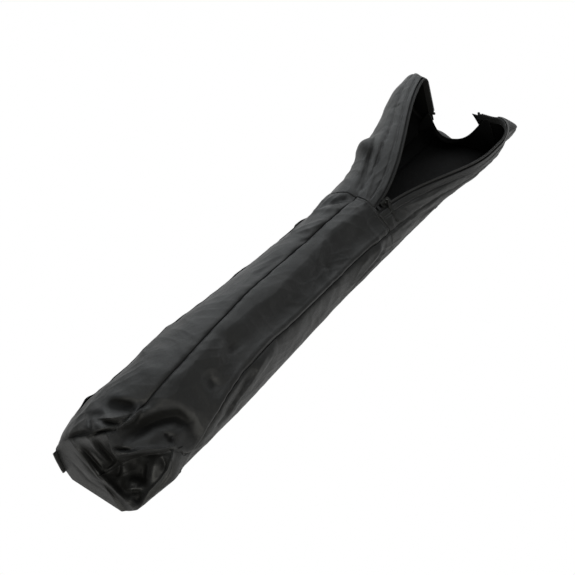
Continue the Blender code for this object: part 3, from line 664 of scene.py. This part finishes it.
class NodeSheet:
    def __init__(self, name):
        self.material = bpy.data.materials.new(name)
        self.material.use_nodes = True
        self.tree = self.material.node_tree
        self.shader = self.tree.nodes["Principled BSDF"]

    def feed(self, socket, value):
        if isinstance(value, Val):
            self.tree.links.new(value.socket, socket)
        else:
            socket.default_value = value

    def node(self, kind, settings=None, sockets=None, output=0, **inputs):
        node = self.tree.nodes.new(kind)
        for key, value in (settings or {}).items():
            setattr(node, key, value)
        for key, value in inputs.items():
            self.feed(node.inputs[key.replace("_", " ")], value)
        for key, value in (sockets or {}).items():
            self.feed(node.inputs[key], value)
        return Val(self, node.outputs[output])

    def mixColour(self, factor, first, second):
        pair = {0: factor, 6: (*first, 1.0), 7: (*second, 1.0)}
        return self.node("ShaderNodeMix", {"data_type": "RGBA"}, pair, output=2)

    def shadeWith(self, factor, other):
        # a second shader that takes over by the factor
        pair = {0: factor, 1: Val(self, self.shader.outputs[0]), 2: other}
        mixed = self.node("ShaderNodeMixShader", sockets=pair)
        self.feed(self.tree.nodes["Material Output"].inputs[0], mixed)

    def set(self, **inputs):
        for key, value in inputs.items():
            self.feed(self.shader.inputs[key.replace("_", " ")], value)


# Unevenness that all the cloths share, from slow clouds to fine scuffs
grain = {
    "cloud": {"Scale": 9.0, "Detail": 3.0, "Roughness": 0.6},
    "crinkle": {"Scale": 120.0, "Detail": 4.0, "Roughness": 0.62},
    "rumple": {"Scale": 34.0, "Detail": 2.0, "Roughness": 0.5, "Distortion": 0.6},
    "scuff": {"Scale": 300.0, "Detail": 2.0, "Roughness": 0.7},
}


def nylon(name, look):
    sheet = NodeSheet(name)
    weaveMap = sheet.node("ShaderNodeUVMap", {"uv_map": "weave"})
    place = sheet.node("ShaderNodeTexCoord", output="Object")
    split = sheet.node("ShaderNodeSeparateXYZ", Vector=weaveMap).socket.node
    count = 2.0 * math.pi / look["thread"]
    warp = (Val(sheet, split.outputs["X"]) * count).math("SINE")
    weft = (Val(sheet, split.outputs["Y"]) * count).math("SINE")
    noises = [sheet.node("ShaderNodeTexNoise", Vector=place, **kind) for kind in grain.values()]
    cloud, crinkle, rumple, scuff = noises
    tone = cloud * look["cloudTone"] - look["toneFrom"] + (scuff - 0.5) * look["scuffTone"]
    tone = tone.math("MAXIMUM", 0.0).math("MINIMUM", 1.0)
    colour = sheet.mixColour(tone, look["dark"], look["light"])
    rough = (cloud - 0.5) * look["cloudRough"] + (scuff - 0.5) * look["scuffRough"] + look["rough"]
    sheet.set(Base_Color=colour, Roughness=rough)
    height = warp * weft * look["weaveHeight"] + (crinkle - 0.5) * look["crinkle"]
    height = height + (rumple - 0.5) * look["rumple"]
    sheet.set(Normal=sheet.node("ShaderNodeBump", Height=height, Strength=1.0, Distance=1.0))
    sheet.set(Specular_IOR_Level=look["gloss"], Sheen_Weight=look["sheen"])
    sheet.set(Sheen_Roughness=look["sheenRough"], Sheen_Tint=(*look["sheenTint"], 1.0))
    # painted shade: the deeper a pleat has sunk, the more a dark, rough, low-gloss shader takes over,
    # darkening the pleat's hollow
    shadeDepth = sheet.node("ShaderNodeAttribute", {"attribute_name": "paintedShade"}, output="Fac")
    shadeDepth = shadeDepth * look["paintedShadeGain"] - look["paintedShadeFrom"]
    paintedShadeBsdf = sheet.node("ShaderNodeBsdfPrincipled", Base_Color=(*look["paintedShade"], 1.0),
                      Roughness=look["paintedShadeRough"], Specular_IOR_Level=look["paintedShadeGloss"])
    sheet.shadeWith(shadeDepth.math("MAXIMUM", 0.0).math("MINIMUM", look["paintedShadeMost"]), paintedShadeBsdf)
    return sheet.material


shellLook = {
    "dark": (0.0085, 0.0086, 0.0084), "light": (0.0150, 0.0150, 0.0145),
    "cloudTone": 1.5, "toneFrom": 0.25, "scuffTone": 0.35,
    "rough": 0.46, "cloudRough": 0.16, "scuffRough": 0.12, "gloss": 0.42,
    "thread": 0.0011, "weaveHeight": 0.00004, "crinkle": 0.00045, "rumple": 0.0014,
    "sheen": 0.05, "sheenRough": 0.45, "sheenTint": (0.85, 0.87, 0.88),
    # colour, roughness and gloss of the painted shade in the pleats' hollows
    "paintedShade": (0.006, 0.006, 0.0055), "paintedShadeRough": 0.8, "paintedShadeGloss": 0.15,
    "paintedShadeGain": 130.0, "paintedShadeFrom": 0.15, "paintedShadeMost": 0.85,  # how fast and how far the painted shade darkens a fold's hollow
}
tapeLook = dict(
    shellLook, dark=(0.008, 0.008, 0.008), light=(0.014, 0.014, 0.0135), rough=0.62, thread=0.0016,
    weaveHeight=0.00012, crinkle=0.0002, rumple=0.0, gloss=0.3)
webLook = dict(
    tapeLook, dark=(0.007, 0.007, 0.007), light=(0.012, 0.012, 0.0115), thread=0.0024, weaveHeight=0.0003)
# The inside of every cloth: a coated lining, darker than the shell partly as its own coating and partly to
# paint the shade inside the bag
liningAndShadeLook = dict(
    shellLook, dark=(0.0035, 0.0035, 0.0034), light=(0.0065, 0.0065, 0.0062), rough=0.7, gloss=0.18,
    sheen=0.0)
shellNylon = nylon("shell nylon", shellLook)
tapeNylon = nylon("zip tape", tapeLook)
liningAndShade = nylon("coated lining and painted shade", liningAndShadeLook)
webNylon = nylon("ribbed webbing", webLook)


metalLook = {"speckle": 900.0, "pits": 0.00004, "wear": 220.0, "worn": 1.7, "wearRough": 0.25}
coilLook = {"wear": 400.0, "wearRough": 0.2, "rough": 0.38}


def metalFinish(name, colour, rough):
    sheet = NodeSheet(name)
    place = sheet.node("ShaderNodeTexCoord", output="Object")
    speckle = sheet.node("ShaderNodeTexNoise", Vector=place, Scale=metalLook["speckle"], Detail=3.0)
    wear = sheet.node("ShaderNodeTexNoise", Vector=place, Scale=metalLook["wear"], Detail=4.0)
    tone = sheet.mixColour(wear, colour, [c * metalLook["worn"] for c in colour])
    sheet.set(Base_Color=tone, Roughness=(wear - 0.5) * metalLook["wearRough"] + rough, Metallic=1.0)
    height = speckle * metalLook["pits"]
    sheet.set(Normal=sheet.node("ShaderNodeBump", Height=height, Strength=1.0, Distance=1.0))
    return sheet.material


def coilFinish(name, dark, light):
    sheet = NodeSheet(name)
    place = sheet.node("ShaderNodeTexCoord", output="Object")
    wear = sheet.node("ShaderNodeTexNoise", Vector=place, Scale=coilLook["wear"], Detail=3.0)
    tone = sheet.mixColour(wear, dark, light)
    sheet.set(Base_Color=tone, Roughness=(wear - 0.5) * coilLook["wearRough"] + coilLook["rough"])
    return sheet.material


sliderMetal = metalFinish("dark slider metal", (0.045, 0.045, 0.042), 0.36)
stopMetal = metalFinish("zip stop metal", (0.05, 0.05, 0.05), 0.4)
coilNylon = coilFinish("moulded zip teeth", (0.012, 0.012, 0.012), (0.026, 0.026, 0.025))
threadNylon = coilFinish("sewing thread", (0.014, 0.014, 0.014), (0.030, 0.030, 0.029))
print("materials ready")

# Shell cloth: its thickness, its size on the weave, and how a panel's points crowd towards the foot
shell = {"thick": 0.0008, "weave": (0.69, 0.12), "crowd": 1.7, "rounds": 6, "guessX": -0.2}


def clothPiece(name, bm):
    piece = thicken(newPiece(name, bm, shellNylon), shell["thick"], linedAndShaded=True)
    return piece


def edgeAt(edge, at):
    # an edge is a function, or one number all along
    return edge(at) if callable(edge) else np.full_like(at, edge)


def bodySkin(name, lowAng, highAng, startX, endX, along, across, node, withPleats=False):
    # one cut panel of the tube between two section angles
    def place(u, v):
        middle = np.full_like(u, shell["guessX"])
        for _ in range(shell["rounds"]):
            low, high = edgeAt(lowAng, middle), edgeAt(highAng, middle)
            ang = low + (high - low) * v
            start, end = edgeAt(startX, ang), edgeAt(endX, ang)
            middle = start + (end - start) * u ** shell["crowd"]
        return tubePoint(middle, ang)

    def weave(u, v):
        return u * shell["weave"][0], v * shell["weave"][1]

    piece = clothPiece(name, gridBmesh(along, across, place, weave, fromAxis, withPleats=withPleats))
    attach(piece, "bag")
    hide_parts(node)


bodySkin("top_cloth", frontSeam, backSeam, footEdge, seamX, 420, 84, "top_panel", True)
bodySkin("back_cloth", backSeam, case["floorBack"], footEdge, seamX, 420, 110, "back_panel", True)
bodySkin("front_cloth", case["floorFront"], frontSeam, footEdge, seamX, 420, 72, "front_panel", True)
skirts = {
    "back": (mouth["back"]["fold"], case["floorBack"]),
    "front": (case["floorFront"], mouth["front"]["fold"]),
}
for word, (low, high) in skirts.items():
    bodySkin(word + "_skirt_cloth", low, high, seamX, mouth[word]["foldEnd"], 120, 14, word + "_panel")
bodySkin("bottom_cloth", case["floorBack"], 360.0 + case["floorFront"], floorStart, floorEnd, 200, 24,
         "bottom_panel")
print("body panels done")


def footEnd():
    # folded along a chord: a flat lower facet, and an upper one that sinks in towards the pushed-back corner
    base, top = foot["creaseBase"], foot["creaseTop"]

    def place(u, v):
        ang = base + 360.0 * u
        flat = np.where(ang > 270.0, ang - 360.0, ang)
        rim = tubePoint(footEdge(flat), flat)
        rim[:, 0] -= foot["hem"]
        under = flat < case["floorFront"]
        rim[under, 0] = floorStart(flat[under] + 360.0) - foot["hem"]
        hub = np.array(foot["hub"])
        spots = hub + (rim - hub) * v[:, None]
        share = np.clip((flat - base) / (top - base), 0.0, 1.0)
        inside = np.where((flat > base) & (flat < top), 1.0, 0.0)
        pocket = np.sin(math.pi * share) ** 0.5 * 2.2 * v ** 0.6 * (1.0 - v) ** 1.2
        uneven = np.sin(9.0 * share + 5.0 * v) * np.sin(13.0 * share - 4.0 * v + 1.0)
        spots[:, 0] += inside * (foot["sink"] * pocket + foot["wrinkle"] * uneven * pocket)
        spots[:, 2] -= inside * foot["drop"] * pocket
        return spots

    def weave(u, v):
        ang = 2.0 * math.pi * u
        radius = foot["radius"] * v
        return radius * np.cos(ang), radius * np.sin(ang)

    bm = gridBmesh(320, 60, place, weave, lambda p: Vector((-1.0, 0.0, 0.0)), foot["mergeGap"], True)
    piece = clothPiece("foot_end_cloth", bm)
    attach(piece, "bag")
    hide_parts("foot_end_panel")


footEnd()
print("foot end done")


def cornerRadius(word, ang):
    off = np.abs(ang - case["zipAngle"]) * case["degree"]
    corner = mouth[word]["corner"]
    return corner + (mouth["seamRadius"] - corner) * ramp(off, mouth["roundFade"])


def closedWall(word, run, ang, lift=0.0):
    radius = cornerRadius(word, ang)
    bendStart = endFor(word, ang) - radius
    bend = np.clip((run - bendStart) / radius, 0.0, math.pi / 2.0)
    x = np.where(run < bendStart, run, bendStart + radius * np.sin(bend))
    depth = radius * (1.0 - np.cos(bend))
    return tubePoint(x, ang, lift - depth)


def wallAngle(word, share):
    # from the cloth's edge beside the zip round to the fold
    zipEdge = case["zipAngle"] + mouth[word]["side"] * mouth["zipGap"]
    return zipEdge + (mouth[word]["fold"] - zipEdge) * share


def wallSkin(word, along, across):
    def place(u, v):
        ang = wallAngle(word, v)
        last = endFor(word, ang) + cornerRadius(word, ang) * (math.pi / 2.0 - 1.0)
        return turnOut(closedWall(word, seamX + (last - seamX) * u, ang), word)

    def weave(u, v):
        return seamX + (case["mouthX"] - seamX) * u, v * shell["weave"][1]

    piece = clothPiece(word + "_wall_cloth", gridBmesh(along, across, place, weave, fromAxis, withPleats=True))
    bendWith(piece, word)
    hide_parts(word + "_mouth_wall", word + "_flap")


def bendWith(piece, word):
    pivotY, pivotZ = foldPoint(word)
    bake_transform(piece)


def endHalf(word):
    edge = np.array(zipPoint + zipAcross * (mouth[word]["side"] * mouth["lipGap"]))
    down = -np.array(zipOut)

    def place(u, v):
        ang = wallAngle(word, u)
        rim = tubePoint(endFor(word, ang), ang, -cornerRadius(word, ang))
        corner = mouth[word]["corner"]
        reach = corner + (mouth["zipDepth"] - corner) * u
        inner = edge + down * reach[:, None]
        inner[:, 0] = mouth[word]["zipEnd"]
        spots = inner + (rim - inner) * v[:, None]
        spots[:, 0] -= mouth["endSag"] * np.sin(math.pi * u) * np.sin(math.pi * v)
        return turnOut(spots, word)

    bm = gridBmesh(60, 30, place, lambda u, v: (u * 0.1, v * 0.06), lambda p: Vector((1.0, 0.0, 0.0)))
    piece = clothPiece(word + "_end_cloth", bm)
    bendWith(piece, word)
    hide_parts(word + "_end_panel")


for word in ("back", "front"):
    wallSkin(word, 260, 120 if word == "back" else 72)
    endHalf(word)
print("mouth walls done")

# Low strip of the end, with two peaks of slack cloth behind the halves, each (rise, middle, reach)
strip = {
    "peaks": [(0.058, 0.22, 0.20), (0.050, 0.79, 0.17)], "dip": (0.5, 0.12), "edge": 0.006,
    "gap": 0.006, "skew": (0.3, 0.4), "tuckIn": (0.15, 0.5), "leanFade": (0.3, 0.7), "lean": 0.012,
    "leanBack": (0.72, 0.2), "leanFront": (0.28, 0.2), "base": 0.86, "above": 0.0006,
}


def mouthEnd():
    lowY, lowZ = foldPoint("front")
    highY = foldPoint("back")[0]
    frontEnd, backEnd = mouth["front"]["zipEnd"], mouth["back"]["zipEnd"]

    def place(u, v):
        y = lowY + (highY - lowY) * u
        rise = sum(peak * bump(u, (middle, reach)) for peak, middle, reach in strip["peaks"])
        top = lowZ + rise * (1.0 - bump(u, strip["dip"])) + strip["edge"]
        inner = frontEnd + (backEnd - frontEnd) * ramp(u, strip["skew"])
        x = endAt(y) - foot["hem"] + (inner - strip["gap"] - endAt(y)) * ramp(v, strip["tuckIn"])
        lean = ramp(v, strip["leanFade"]) * (bump(u, strip["leanBack"]) - bump(u, strip["leanFront"]))
        wide = strip["base"] + (1.0 - strip["base"]) * smooth(v * 3.0)
        return np.stack([x, y * wide + strip["lean"] * lean, strip["above"] + top * v], axis=-1)

    bm = gridBmesh(60, 30, place, lambda u, v: (u * 0.14, v * 0.08), lambda p: Vector((1.0, 0.0, 0.0)))
    piece = clothPiece("mouth_end_cloth", bm)
    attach(piece, "bag")
    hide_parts("mouth_end_panel")


mouthEnd()

# Zip, in the closed line's own frame: run along the mouth and down its end, across the zip, depth below it
zipper = {
    "tapeDepth": 0.0030, "tapeSlope": 0.0012, "tapeThick": 0.0008, "tapeInner": 0.0010,
    "tapeOuter": 0.0125, "tapeStart": 0.004, "tapeTail": 0.006, "endGap": 0.020,
}


def zipSpot(run, off, depth, word):
    radius = mouth[word]["corner"]
    bendStart = mouth[word]["zipEnd"] - radius
    bend = np.clip((run - bendStart) / radius, 0.0, math.pi / 2.0)
    past = np.maximum(run - bendStart - radius * math.pi / 2.0, 0.0)
    x = np.where(run < bendStart, run, bendStart + radius * np.sin(bend)) - depth * np.sin(bend)
    drop = radius * (1.0 - np.cos(bend)) + past + depth * np.cos(bend)
    side = mouth[word]["side"]
    spots = np.array(zipPoint) + np.outer(off * side, np.array(zipAcross)) - np.outer(drop, np.array(zipOut))
    spots[:, 0] = x
    return spots


def lastRun(word):
    corner = mouth[word]["corner"] * (math.pi / 2.0 - 2.0)
    return mouth[word]["zipEnd"] + corner + mouth["zipDepth"] - zipper["endGap"]


def tapeRun(word):
    first, last = seamX - zipper["tapeStart"], lastRun(word) + zipper["tapeTail"]

    def place(u, v):
        run = first + (last - first) * u
        off = zipper["tapeInner"] + (zipper["tapeOuter"] - zipper["tapeInner"]) * v
        return turnOut(zipSpot(run, off, zipper["tapeDepth"] + zipper["tapeSlope"] * v, word), word)

    bm = gridBmesh(220, 6, place, lambda u, v: (u * (last - first), v * 0.012), fromAxis)
    piece = thicken(newPiece(word + "_tape_cloth", bm, tapeNylon), zipper["tapeThick"])
    bendWith(piece, word)
    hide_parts(word + "_zip_tape", word + "_flap_zip_tape")


def repeated(count, bevel):
    # small bevelled blocks in one mesh: vertices in block coordinates, and which block each belongs to
    bm = bmesh.new()
    bmesh.ops.create_cube(bm, size=1.0)
    bmesh.ops.bevel(bm, geom=bm.edges[:], offset=bevel, affect="EDGES", segments=1, profile=0.5, material=-1)
    one = bpy.data.meshes.new("block")
    bm.to_mesh(one)
    bm.clear()
    for _ in range(count):
        bm.from_mesh(one)
    shape = np.array([v.co for v in bm.verts])
    which = np.arange(len(shape)) // len(one.vertices)
    bpy.data.meshes.remove(one)
    return bm, shape, which


def rowPiece(name, bm, spots, material):
    for vert, spot in zip(bm.verts, spots):
        vert.co = spot
    bmesh.ops.recalc_face_normals(bm, faces=bm.faces[:])
    piece = newPiece(name, bm, material, False)
    return piece


# The two rows stand half a pitch apart, so that they mesh. back, front and length are shares of the pitch.
tooth = {
    "pitch": 0.0022, "length": 0.62, "wide": 0.0036, "tall": 0.0024, "off": 0.0022, "depth": 0.0016,
    "bevel": 0.22, "early": 0.002, "back": 0.3, "front": 0.8,
}


def toothRun(word):
    first = case["veeX"] - tooth["early"]
    bm, shape, which = repeated(int((lastRun(word) - first) / tooth["pitch"]), tooth["bevel"])
    run = first + tooth["pitch"] * (which + tooth[word] + shape[:, 0] * tooth["length"])
    off = tooth["off"] + shape[:, 1] * tooth["wide"]
    depth = tooth["depth"] - shape[:, 2] * tooth["tall"]
    spots = turnOut(zipSpot(run, off, depth, word), word)
    piece = rowPiece(word + "_teeth", bm, spots, coilNylon)
    bendWith(piece, word)
    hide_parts(word + "_zip_chain", word + "_flap_zip_chain")


stitch = {
    "pitch": 0.0038, "length": 0.0027, "wide": 0.0008, "thick": 0.0007, "lift": 0.0003, "bevel": 0.25,
    "hemGap": 13.6, "hemStart": 0.006, "hemEnd": 0.030, "seamGap": 0.0045, "seamInset": 2.0,
}


def threadRow(name, bm, spots):
    return rowPiece(name, bm, pleated(spots, offAxis(spots))[0], threadNylon)


def hemStitches(word):
    ang = case["zipAngle"] + mouth[word]["side"] * stitch["hemGap"]
    last = endFor(word, np.array(ang)) - stitch["hemEnd"]
    bm, shape, which = repeated(int((last - seamX - stitch["hemStart"]) / stitch["pitch"]), stitch["bevel"])
    run = seamX + stitch["hemStart"] + stitch["pitch"] * which + stitch["length"] * shape[:, 0]
    lift = stitch["lift"] + stitch["thick"] * shape[:, 2]
    spots = closedWall(word, run, ang + stitch["wide"] * shape[:, 1] / case["degree"], lift)
    piece = threadRow(word + "_hem_stitches", bm, turnOut(spots, word))
    bendWith(piece, word)


def seamStitches():
    low = float(frontSeam(np.array(seamX))) + stitch["seamInset"]
    high = float(backSeam(np.array(seamX))) - stitch["seamInset"]
    bm, shape, which = repeated(int((high - low) * case["degree"] / stitch["pitch"]), stitch["bevel"])
    ang = low + (stitch["pitch"] * (which + 0.5) + stitch["length"] * shape[:, 0]) / case["degree"]
    x = seamX - stitch["seamGap"] + stitch["wide"] * shape[:, 1]
    spots = tubePoint(x, ang, stitch["lift"] + stitch["thick"] * shape[:, 2])
    piece = threadRow("cross_seam_stitches", bm, spots)
    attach(piece, "bag")


for word in ("back", "front"):
    tapeRun(word)
    toothRun(word)
    hemStitches(word)
seamStitches()
print("zip tapes, teeth and stitches done")

# Webbing along the hidden side. It dips at the foot and stands off in two bows, each (share, middle, reach)
strap = {
    "angle": 172.0, "degree": 0.0014, "dip": 35.0, "dipFade": (-0.455, -0.060), "width": 0.045,
    "thick": 0.0018, "from": -0.534, "to": 0.100, "lift": 0.0026, "bow": 0.004,
    "bows": [(1.0, -0.447, 0.012), (0.5, -0.26, 0.05)], "tail": 0.001, "tailFade": (-0.49, -0.03),
    "tab": 0.030, "tabLift": 0.002,
}


def webStrip(name, first, last, along, lift, node):
    def place(u, v):
        x = first + (last - first) * u
        ang = strap["angle"] + strap["dip"] * ramp(x, strap["dipFade"])
        ang = ang + strap["width"] * (v - 0.5) / strap["degree"]
        bow = strap["bow"] * sum(share * bump(x, (middle, reach)) for share, middle, reach in strap["bows"])
        tail = strap["tail"] * ramp(x, strap["tailFade"])
        return tubePoint(x, ang, strap["lift"] + bow + tail + lift)

    bm = gridBmesh(along, 10, place, lambda u, v: (u * (last - first), v * strap["width"]), fromAxis)
    piece = thicken(newPiece(name, bm, webNylon), strap["thick"])
    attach(piece, "bag")
    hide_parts(node)


strapFoot, strapMouth = strap["from"], strap["to"]
webStrip("strap_web", strapFoot, strapMouth, 160, 0.0, "carry_strap")
webStrip("strap_tab_foot_web", strapFoot, strapFoot + strap["tab"], 12, strap["tabLift"], "strap_tab_foot")
webStrip("strap_tab_mouth_web", strapMouth - strap["tab"], strapMouth, 12, strap["tabLift"],
         "strap_tab_mouth")
print("webbing done")

# Nodes that stay as they are and only get a finish
finishes = [
    (sliderMetal, ("zip_slider", "zip_slider_bridge", "zip_pull")),
    (stopMetal, ("zip_bottom_stop", "back_top_stop", "front_top_stop")),
    (coilNylon, ("zip_start_tape",)),
]
for finish, nodes in finishes:
    for node in nodes:
        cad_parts[node].data.materials.clear()
        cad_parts[node].data.materials.append(finish)

# Camera, floor and light
studio = {
    "world": 0.19, "sky": (0.96, 0.985, 1.0),
    "floor": (0.80, 0.79, 0.77), "floorRough": 0.9, "floorSize": 6.0, "floorZ": -0.0008,
    "gloss": 0.5,  # how much of the white glossy surfaces see
    "aim": (0, 0, 0.05),
    "lamps": {
        "top": {"place": (0.45, 0.45, 2.2), "power": 17.0, "size": 2.0, "colour": (0.94, 0.98, 1.0)},
        "back": {"place": (1.1, 1.5, 0.9), "power": 11.0, "size": 1.6, "colour": (0.94, 0.98, 1.0)},
        "front": {"place": (-1.9, -1.5, 0.8), "power": 28.0, "size": 1.6, "colour": (1.0, 0.98, 0.90)},
        "far": {"place": (1.9, 0.2, 1.1), "power": 8.0, "size": 1.6, "colour": (0.97, 0.99, 1.0)},
    },
}


def turnTo(place, aim):
    return (Vector(aim) - Vector(place)).to_track_quat("-Z", "Y").to_euler()


def setCamera():
    data = bpy.data.cameras.new("camera")
    data.lens = camera["lens"]
    data.sensor_width = camera["sensor"]
    eye = bpy.data.objects.new("camera", data)
    bpy.context.collection.objects.link(eye)
    eye.location = camera["place"]
    eye.rotation_euler = turnTo(camera["place"], camera["look"])
    bpy.context.scene.camera = eye


def whiteFloor():
    sheet = NodeSheet("white floor")
    path = sheet.node("ShaderNodeLightPath").socket.node
    glossy = Val(sheet, path.outputs["Is Glossy Ray"]) * studio["gloss"]
    factor = Val(sheet, path.outputs["Is Camera Ray"]).math("MAXIMUM", glossy)
    sheet.set(Base_Color=(*studio["floor"], 1.0), Roughness=studio["floorRough"])
    sheet.shadeWith(factor, sheet.node("ShaderNodeEmission", Strength=1.0))
    bm = bmesh.new()
    bmesh.ops.create_grid(bm, x_segments=1, y_segments=1, size=studio["floorSize"])
    bmesh.ops.translate(bm, verts=bm.verts[:], vec=(0.0, 0.0, studio["floorZ"]))
    floor = newPiece("floor", bm, sheet.material, False)


def areaLight(name, lamp):
    data = bpy.data.lights.new(name, "AREA")
    data.energy = lamp["power"]
    data.size = lamp["size"]
    data.color = lamp["colour"]
    light = bpy.data.objects.new(name, data)
    bpy.context.collection.objects.link(light)
    light.location = lamp["place"]
    light.rotation_euler = turnTo(lamp["place"], studio["aim"])


def softWorld():
    world = bpy.data.worlds.new("studio")
    bpy.context.scene.world = world
    world.use_nodes = True
    back = world.node_tree.nodes["Background"]
    back.inputs["Color"].default_value = (*studio["sky"], 1.0)
    back.inputs["Strength"].default_value = studio["world"]


setCamera()
whiteFloor()
softWorld()
for name, lamp in studio["lamps"].items():
    areaLight(name, lamp)
bpy.context.scene.view_settings.view_transform = "Standard"
print("studio ready")
